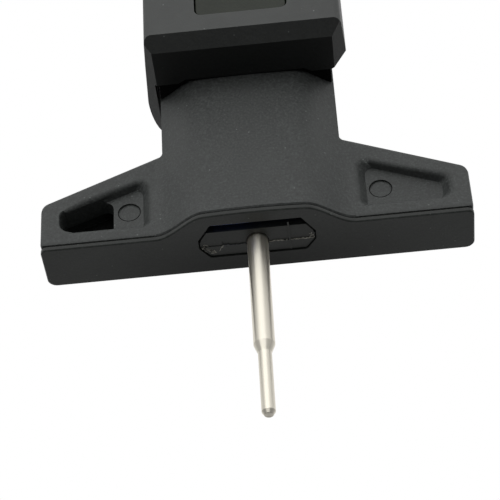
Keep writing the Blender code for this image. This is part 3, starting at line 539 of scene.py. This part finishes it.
def refined(name, node, material, body, width, soft=()):
    """A finer copy of a CAD node, which it replaces: flat faces are merged and sharp edges rounded.

    soft lists boxes, each (low corner, high corner). An edge whose middle lies in one is rounded by
    RIM_EDGE, and any other by width.
    """
    shape = bmesh.new()
    shape.from_mesh(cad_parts[node].data)
    bmesh.ops.remove_doubles(shape, verts=shape.verts, dist=WELD * MM)
    bmesh.ops.dissolve_limit(shape, angle_limit=FLAT, verts=shape.verts, edges=shape.edges)
    ordinary = shape.edges.layers.float.new("bevel_weight_edge")
    wide = shape.edges.layers.float.new("soft_edge")
    for edge in shape.edges:
        if len(edge.link_faces) == 2 and edge.calc_face_angle() > SHARP:
            middle = (edge.verts[0].co + edge.verts[1].co) / 2 / MM
            in_soft = any(inside(middle, low, high) for low, high in soft)
            edge[wide if in_soft else ordinary] = 1
    piece = show(name, to_mesh(name, shape, math.pi), material, body)
    if soft:
        rounding = round_edges(piece, RIM_EDGE, RIM_STEPS, "soft_edge")
        rounding.use_clamp_overlap = False
        rounding.loop_slide = False
    round_edges(piece, width, EDGE_STEPS, "bevel_weight_edge")
    piece.modifiers.new("shading", "WEIGHTED_NORMAL").keep_sharp = True
    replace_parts(piece, node)


def inside(point, low, high):
    """Whether a point lies in the box between two corners."""
    return all(least <= part <= most for least, part, most in zip(low, point, high))


def round_edges(piece, width, segments, weights=None):
    """Rounds the edges that the named weights mark, or else all that turn by more than STEEP."""
    rounding = piece.modifiers.new("rounding", "BEVEL")
    rounding.width = width * MM
    rounding.segments = segments
    rounding.harden_normals = True
    if weights:
        rounding.limit_method = "WEIGHT"
        rounding.edge_weight = weights
    else:
        rounding.limit_method = "ANGLE"
        rounding.angle_limit = STEEP
    return rounding


def dress(node, material):
    """Gives its finish to a CAD node that keeps its own shape."""
    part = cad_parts[node]
    part.data.materials.clear()
    part.data.materials.append(material)


def neck_front(x):
    """How far forward the neck's raised centre stands at x."""
    across = min(max((abs(x) - CROWN_HALF) / (CROWN_FOOT - CROWN_HALF), 0), 1)
    swell = CROWN_SWELL * max(1 - (x / CROWN_HALF) ** 2, 0)
    return WING_Y - CROWN_RISE * (1 - across * across * (3 - 2 * across)) - swell


def prism(shape, outline, low, high, place=None):
    """Adds a closed prism to shape: a flat outline of (x, y) points between two heights."""
    place = place or Matrix.Identity(4)
    rings = []
    for height in (low, high):
        rings.append([shape.verts.new(place @ (Vector((x, y, height)) * MM)) for x, y in outline])
    bottom, top = rings
    shape.faces.new(bottom[::-1])
    shape.faces.new(top)
    for index in range(len(outline)):
        after = (index + 1) % len(outline)
        shape.faces.new((bottom[index], bottom[after], top[after], top[index]))


def ragged(shape, start, end, width, low, high, dice, steps):
    """Adds a ragged sliver from start to end: it wanders by up to half its width, and its ends are thin."""
    start, end = Vector(start), Vector(end)
    along = (end - start).normalized()
    side = Vector((-along.y, along.x))
    near, far = [], []
    for step in range(steps + 1):
        share = step / steps
        middle = start.lerp(end, share) + side * width * dice.uniform(-0.5, 0.5)
        half = width * dice.uniform(0.15, 0.5) * math.sin(math.pi * (0.12 + 0.76 * share))
        near.append(middle - side * half)
        far.append(middle + side * half)
    prism(shape, [tuple(p) for p in near + far[::-1]], low, high)


def detail(name, shape, material, body):
    """Shows a small piece made of prisms, which needs no rounding."""
    bmesh.ops.recalc_face_normals(shape, faces=shape.faces)
    show(name, to_mesh(name, shape), material, body)


def circle_point(step, steps):
    """The point at a step round a circle of radius 1 in the XY plane."""
    turn = math.tau * step / steps
    return Vector((math.cos(turn), math.sin(turn)))


def facing_front(x, y, z):
    """Where a flat detail stands upright: its own x runs right, its y up and its z forward."""
    return Matrix.Translation(Vector((x, y, z)) * MM) @ Matrix.Rotation(math.radians(90), 4, "X")


def turned(name, profile, steps, material, body):
    """A solid of revolution about Z: the profile's (radius, height) points run top to bottom."""
    shape = bmesh.new()
    corners = [shape.verts.new((radius * MM, 0, height * MM)) for radius, height in profile]
    edges = [shape.edges.new(pair) for pair in zip(corners, corners[1:])]
    bmesh.ops.spin(shape, geom=corners + edges, axis=(0, 0, 1), cent=(0, 0, 0), angle=math.tau, steps=steps)
    bmesh.ops.remove_doubles(shape, verts=shape.verts, dist=WELD * MM)
    bmesh.ops.recalc_face_normals(shape, faces=shape.faces)
    piece = show(name, to_mesh(name, shape, math.pi), material, body)
    round_edges(piece, FINE_EDGE, EDGE_STEPS)
    return piece


# Camera, light and floor


def make_camera():
    """Places the camera by its angles, and by how it stands from a point on the foot's underside."""
    turn = Matrix.Rotation(YAW, 3, "Z") @ Matrix.Rotation(PITCH, 3, "X")
    across, ahead, upward = (turn @ Vector(axis) for axis in ((1, 0, 0), (0, 1, 0), (0, 0, 1)))
    right = across * math.cos(ROLL) + upward * math.sin(ROLL)
    up = upward * math.cos(ROLL) - across * math.sin(ROLL)
    foot_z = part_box("foot_plate")[0].z / MM
    aim = Vector((0, AIM_Y, foot_z))
    place = aim - (right * ASIDE + up * BELOW + ahead * DISTANCE)
    data = bpy.data.cameras.new("camera")
    data.lens = LENS
    data.sensor_width = SENSOR
    data.clip_start = 0.01
    data.clip_end = 10.0
    camera = bpy.data.objects.new("camera", data)
    bpy.context.scene.collection.objects.link(camera)
    columns = Matrix((right, up, -ahead)).transposed().to_4x4()
    camera.matrix_world = Matrix.Translation(place * MM) @ columns
    bpy.context.scene.camera = camera


def make_sky():
    """Shows white behind the gauge, and lights it with a soft sky and a glow from behind and below."""
    world = bpy.data.worlds.new("studio")
    world.use_nodes = True
    bpy.context.scene.world = world
    bpy.context.scene.view_settings.view_transform = "Standard"
    tree = world.node_tree
    direction = add_node(tree, "ShaderNodeTexCoord").outputs["Generated"]
    split = add_node(tree, "ShaderNodeSeparateXYZ", {0: direction})
    rise = add_node(tree, "ShaderNodeMapRange", {"Value": split.outputs["Z"], "From Min": -1.0})
    brightest = SKY[-1][1]
    stops = [(place, strength / brightest) for place, strength in SKY]
    sky = fill_ramp(add_node(tree, "ShaderNodeValToRGB", {"Fac": rise.outputs[0]}), stops)
    toward = add_node(tree, "ShaderNodeVectorMath", {0: direction, 1: GLOW_FROM}, operation="DOT_PRODUCT")
    reach = {"Value": toward.outputs["Value"], "From Min": GLOW_START, "To Max": GLOW}
    glow = add_node(tree, "ShaderNodeMapRange", reach)
    total = add_node(tree, "ShaderNodeMath", {0: sky, 1: glow.outputs[0]})
    sideways = add_node(tree, "ShaderNodeMath", {0: split.outputs["X"]}, operation="ABSOLUTE")
    fall = {"Value": sideways.outputs[0], "From Min": SIDE_START, "To Min": 1.0, "To Max": SIDE_SHARE}
    side = add_node(tree, "ShaderNodeMapRange", fall)
    both = {0: total.outputs[0], 1: side.outputs[0]}
    shaped = add_node(tree, "ShaderNodeMath", both, operation="MULTIPLY")
    lit = tree.nodes["Background"]
    lit.inputs["Strength"].default_value = brightest
    tree.links.new(shaped.outputs[0], lit.inputs["Color"])
    seen = add_node(tree, "ShaderNodeBackground", {"Color": (1, 1, 1, 1)})
    direct = add_node(tree, "ShaderNodeLightPath").outputs["Is Camera Ray"]
    choice = add_node(tree, "ShaderNodeMixShader", {0: direct, 1: lit.outputs[0], 2: seen.outputs[0]})
    tree.links.new(choice.outputs[0], tree.nodes["World Output"].inputs["Surface"])


def make_lamp():
    """A wide lamp in front, level with the neck."""
    data = bpy.data.lights.new("front_lamp", "AREA")
    data.size = LAMP_SIZE * MM
    data.energy = LAMP_WATTS
    lamp = bpy.data.objects.new("front_lamp", data)
    bpy.context.scene.collection.objects.link(lamp)
    lamp.location = Vector(LAMP_PLACE) * MM
    lamp.rotation_mode = "QUATERNION"
    lamp.rotation_quaternion = (Vector(LAMP_PLACE) - Vector(LAMP_AIM)).to_track_quat("Z", "Y")


def make_floor():
    """A plain pale floor, far below, which throws no light back on the gauge."""
    shape = bmesh.new()
    bmesh.ops.create_grid(shape, x_segments=1, y_segments=1, size=FLOOR_SIZE * MM)
    floor = bpy.data.objects.new("floor", to_mesh("floor", shape))
    floor.location.z = -FLOOR_DROP * MM
    tree = Tree("floor", 0.8)
    cloud = tree.noise(3.0)
    floor.data.materials.append(tree.finish(tree.mix(cloud, (0.80, 0.80, 0.79), (0.83, 0.83, 0.82))))
    floor.visible_diffuse = False
    floor.visible_glossy = False
    bpy.context.scene.collection.objects.link(floor)


# The base


def make_mark_shade_ring(name, middle):
    """A near-black ring round an ejector pin's mark: painted shade for the groove of its witness line."""
    ring = bmesh.new()
    inner, outer = (MARK_RADIUS + line for line in MARK_LINE)
    spokes = [circle_point(step, MARK_STEPS) for step in range(MARK_STEPS + 1)]
    for near, far in zip(spokes, spokes[1:]):
        outline = [near * inner, near * outer, far * outer, far * inner]
        prism(ring, outline, -MARK_DEPTH, MARK_RISE, facing_front(*middle))
    detail(name, ring, SHADE_BLACK, "base")


def make_base():
    """The two shells with soft rims round their recesses, painted shade round the ejector marks, the foot
    plate, the scale and the screws.
    """
    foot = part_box("foot_plate")[0].z / MM
    rims = []
    for side, end in ((-1, POCKET_END), (1, RECESS_X[1])):
        left, right = sorted((side * RECESS_X[0], side * end))
        low = (left, WING_Y - RIM_REACH, foot + RECESS_Z[0])
        high = (right, WING_Y + RIM_REACH, foot + RECESS_Z[1])
        rims.append((low, high))
    refined("front_shell", "base_front_shell", PLASTIC, "base", SHELL_EDGE, rims)
    refined("rear_shell", "base_rear_shell", REAR_PLASTIC, "base", SHELL_EDGE)
    refined("foot", "foot_plate", FOOT_PLASTIC, "base", FINE_EDGE)
    for name, x in (("left_mark_shade_ring", -MARK_X), ("right_mark_shade_ring", MARK_X)):
        make_mark_shade_ring(name, (x, WING_Y + RECESS_DEPTH, foot + MARK_Z))
    dress("scale_board", BLUE_BOARD)
    for name in ("base_screw_1", "base_screw_2", "base_screw_3", "base_screw_4", "stop_screw"):
        dress(name, SCREW_STEEL)


# The slider


def make_carriage():
    """The two halves that clamp the probe, with the readhead, its cable and the screws."""
    refined("carriage_front_half", "carriage_front", INNER_PLASTIC, "slider", FINE_EDGE)
    refined("carriage_rear_half", "carriage_rear", INNER_PLASTIC, "slider", FINE_EDGE)
    dress("readhead_board", GREEN_BOARD)
    dress("ribbon_cable", FLEX)
    for name in ("carriage_screw_1", "carriage_screw_2", "hood_screw_1", "hood_screw_2"):
        dress(name, SCREW_STEEL)


def make_probe():
    """The stepped rod, turned more finely than the CAD model's."""
    low, high = (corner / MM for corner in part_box("probe_rod"))
    radius = (high.x - low.x) / 2
    profile = [
        (0, high.z),
        (radius - PROBE_CHAMFER, high.z),
        (radius, high.z - PROBE_CHAMFER),
        (radius, low.z + STEP_HIGH),
        (TIP_RADIUS, low.z + STEP_LOW),
        (TIP_RADIUS, low.z + TIP_CHAMFER),
        (TIP_FLAT, low.z),
        (0, low.z),
    ]
    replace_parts(turned("probe", profile, PROBE_STEPS, STEEL, "slider"), "probe_rod")


def make_seam(dice, seam, front, rear):
    """Pale flash along the right of the carriage's seam, and dark cracks and a notch on the left."""
    flash = bmesh.new()
    for start, end in FLASH:
        ends = ((start, seam), (end, seam - FLASH_SLANT))
        ragged(flash, *ends, FLASH_WIDTH, rear - FLASH_DEPTH, front, dice, FLASH_STEPS)
    detail("seam_flash", flash, GLUE, "slider")
    crack = bmesh.new()
    for start, end, width in CRACKS:
        ends = ((start, seam + CRACK_SLANT), (end, seam))
        ragged(crack, *ends, width, rear - CRACK_DEPTH, front, dice, CRACK_STEPS)
    prism(crack, [(x, seam + y) for x, y in NOTCH], rear - NOTCH_DEPTH, front)
    detail("seam_crack", crack, DIGIT_INK, "slider")


def make_corner_gap_shade():
    """A near-black sheet along the cut corners at the carriage's front: painted shade for the gap there."""
    low, high = (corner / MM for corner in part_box("carriage_front"))
    shape = bmesh.new()
    for side in (-1, 1):
        outline = [(side * (high.x + x), low.y + y) for x, y in CORNER_GAP_SHADE]
        prism(shape, outline, low.z - GAP_SHADE_DEPTH, low.z)
    detail("corner_gap_shade", shape, SHADE_BLACK, "slider")


def make_glue(dice, seam, front, rear):
    """Smears of dried glue: a slanting band on the left, a few on the right and one by the probe."""
    shape = bmesh.new()
    for _ in range(GLUE_STRANDS):
        x = dice.uniform(*GLUE_X)
        y = seam + (x - GLUE_X[0]) * GLUE_SLANT + dice.gauss(0, GLUE_SPREAD)
        face = front if y < seam else rear
        turn = math.radians(dice.gauss(*STRAND_ANGLE))
        half = Vector((math.cos(turn), math.sin(turn))) * dice.uniform(*STRAND_HALF)
        ends = (Vector((x, y)) - half, Vector((x, y)) + half)
        if all(abs(end.x) < GLUE_LIMIT[0] and end.y < GLUE_LIMIT[1] for end in ends):
            ragged(shape, *ends, dice.uniform(*STRAND_WIDTH), face - GLUE_DEPTH, face, dice, STRAND_STEPS)
    for ends in LONG_STRANDS:
        ragged(shape, *ends, LONG_WIDTH, rear - GLUE_DEPTH, rear, dice, LONG_STEPS)
    for _ in range(RIGHT_STRANDS):
        x, y = dice.uniform(*RIGHT_X), dice.uniform(*RIGHT_Y)
        ends = ((x, y), (x + RIGHT_LEAN, y + dice.uniform(*RIGHT_LENGTH)))
        ragged(shape, *ends, RIGHT_WIDTH, front - GLUE_DEPTH, front, dice, SHORT_STEPS)
    ragged(shape, *PROBE_STRAND, PROBE_STRAND_WIDTH, front - GLUE_DEPTH, front, dice, SHORT_STEPS)
    detail("glue_smears", shape, GLUE, "slider")


def make_guide_rib(seam, front, rear):
    """A thin rib that crosses the carriage's end beside the probe."""
    ys = (RIB_Y[0], RIB_Y[0], seam, RIB_Y[1], RIB_Y[1])
    rib = bmesh.new()
    prism(rib, list(zip(RIB_X, ys)), rear - RIB_OUT, front + RIB_IN)
    detail("guide_rib", rib, INNER_PLASTIC, "slider")


def make_end_marks():
    """What shows on the carriage's lower end in the slot."""
    dice = random.Random(SEED)
    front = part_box("carriage_front")[0].z / MM
    rear_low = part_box("carriage_rear")[0] / MM
    make_seam(dice, rear_low.y, front, rear_low.z)
    make_corner_gap_shade()
    make_glue(dice, rear_low.y, front, rear_low.z)
    make_guide_rib(rear_low.y, front, rear_low.z)


def make_gap_shade_block():
    """A near-black block inside the case's lower end, close round the neck's raised front: painted shade
    for the gap between case and neck.
    """
    low_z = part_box("display_case")[0].z / MM + SHADE_BLOCK_INSET
    across = [SHADE_BLOCK_HALF * (2 * step / SHADE_BLOCK_STEPS - 1) for step in range(SHADE_BLOCK_STEPS + 1)]
    shape = bmesh.new()
    back = [(x, neck_front(x) - SHADE_BLOCK_GAP) for x in across]
    front = [(SHADE_BLOCK_HALF, SHADE_BLOCK_FRONT), (-SHADE_BLOCK_HALF, SHADE_BLOCK_FRONT)]
    prism(shape, back + front, low_z, low_z + SHADE_BLOCK_HIGH)
    detail("gap_shade_block", shape, SHADE_BLACK, "slider")


def segment_outline(half_length):
    """A level segment about the origin, pointed at both ends, as (along, across) points."""
    ends = half_length - SEGMENT_END
    return [
        (-ends - SEGMENT, 0),
        (-ends, -SEGMENT),
        (ends, -SEGMENT),
        (ends + SEGMENT, 0),
        (ends, SEGMENT),
        (-ends, SEGMENT),
    ]


def make_segments():
    """Unlit seven-segment digits on the display's glass."""
    low, high = (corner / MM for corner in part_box("lcd_window"))
    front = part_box("lcd_glass")[0].y / MM
    place = facing_front((low.x + high.x) / 2, front, (low.z + high.z) / 2)
    shape = bmesh.new()
    for digit in range(DIGITS):
        middle = (digit - (DIGITS - 1) / 2) * DIGIT_PITCH
        for level in (2, 0, -2):
            outline = [(middle + a, level * DIGIT_STEP + b) for a, b in segment_outline(DIGIT_HALF)]
            prism(shape, outline, 0, INK_RISE, place)
        for x, y in ((-1, 1), (1, 1), (-1, -1), (1, -1)):
            corner = Vector((middle + x * DIGIT_HALF, y * DIGIT_STEP))
            outline = [(corner.x - b, corner.y + a) for a, b in segment_outline(DIGIT_STEP)]
            prism(shape, outline, 0, INK_RISE, place)
    detail("display_segments", shape, DIGIT_INK, "slider")


def ring_sign():
    """A ring that is open at one side, as the outlines of its prisms."""
    outer = [circle_point(step, SIGN_STEPS) for step in range(RING_FIRST, RING_LAST + 1)]
    return [[a, b, b * RING_INNER, a * RING_INNER] for a, b in zip(outer, outer[1:])]


def bar_sign():
    """A level bar."""
    x, y = BAR_HALF
    return [[(-x, -y), (x, -y), (x, y), (-x, y)]]


def dot_sign():
    """A round dot."""
    return [[circle_point(step, SIGN_STEPS) * DOT_RADIUS for step in range(SIGN_STEPS)]]


def make_key_marks():
    """A plain printed sign on each key."""
    for name, sign in (("button_on_off", ring_sign), ("button_unit", bar_sign), ("button_zero", dot_sign)):
        low, high = (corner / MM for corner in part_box(name))
        place = facing_front((low.x + high.x) / 2, low.y, (low.z + high.z) / 2)
        shape = bmesh.new()
        for outline in sign():
            prism(shape, outline, 0, INK_RISE, place)
        detail(f"{name}_sign", shape, MARK_INK, name)


def make_display_unit():
    """The case and its cover, the door, the keys, and what is inside."""
    refined("case", "display_case", CASE_PLASTIC, "slider", CASE_EDGE)
    refined("cover", "rear_cover", CASE_PLASTIC, "slider", COVER_EDGE)
    refined("door", "battery_door", DOOR_PLASTIC, "battery_door", DOOR_EDGE)
    for name in ("button_on_off", "button_unit", "button_zero"):
        refined(f"{name}_cap", name, KEY_PLASTIC, name, KEY_EDGE)
    dress("battery_cell", CELL_STEEL)
    dress("contact_negative", SPRING_STEEL)
    dress("contact_positive", SPRING_STEEL)
    dress("main_board", GREEN_BOARD)
    dress("lcd_glass", LCD)
    dress("lcd_window", CLEAR)
    dress("zebra_strip", RUBBER)
    dress("keypad_sheet", RUBBER)
    for number in (1, 2, 3, 4):
        dress(f"cover_screw_{number}", SCREW_STEEL)


make_camera()
make_sky()
make_lamp()
make_floor()
make_base()
make_carriage()
make_probe()
make_end_marks()
make_display_unit()
make_gap_shade_block()
make_segments()
make_key_marks()
